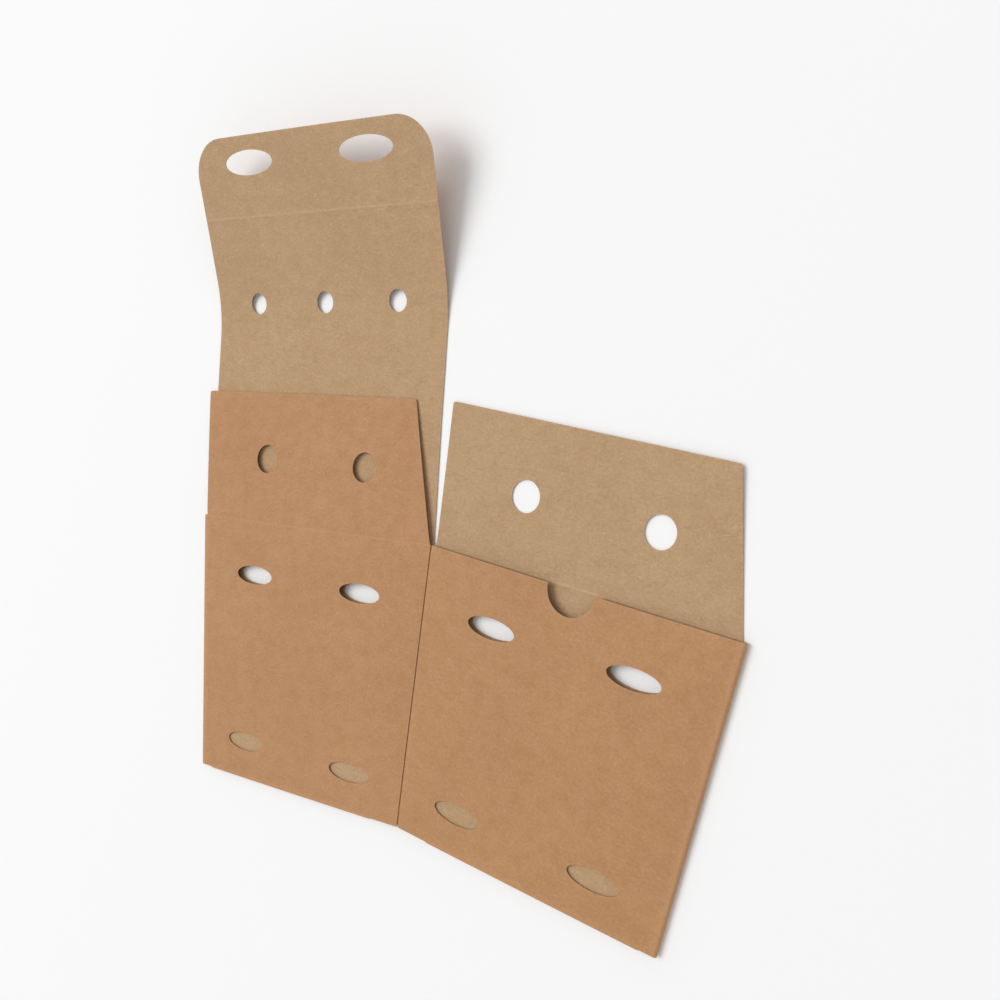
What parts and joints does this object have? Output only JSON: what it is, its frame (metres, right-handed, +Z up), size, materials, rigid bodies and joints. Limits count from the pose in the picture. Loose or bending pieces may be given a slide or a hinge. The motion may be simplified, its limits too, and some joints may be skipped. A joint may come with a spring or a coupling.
{
  "type": "folding fries box",
  "caption": "Kraft board fries box folded flat: tapered tube with glued seam, thumb notch, dust flaps, and a vented lid with tuck flap that lifts at its free end.",
  "frame": {"origin": "middle of the box's extent, on the surface that it lies on", "axes": "+Z up, out of the front walls; +Y along the glued seam, towards the lid; +X to the right, towards the front wall"},
  "size_m": [0.2946, 0.3084, 0.0235],
  "materials": {
    "kraft_board": "matte uncoated kraft board"
  },
  "bodies": {
    "root": {"fries_box": "kraft_board"}
  },
  "joints": []
}
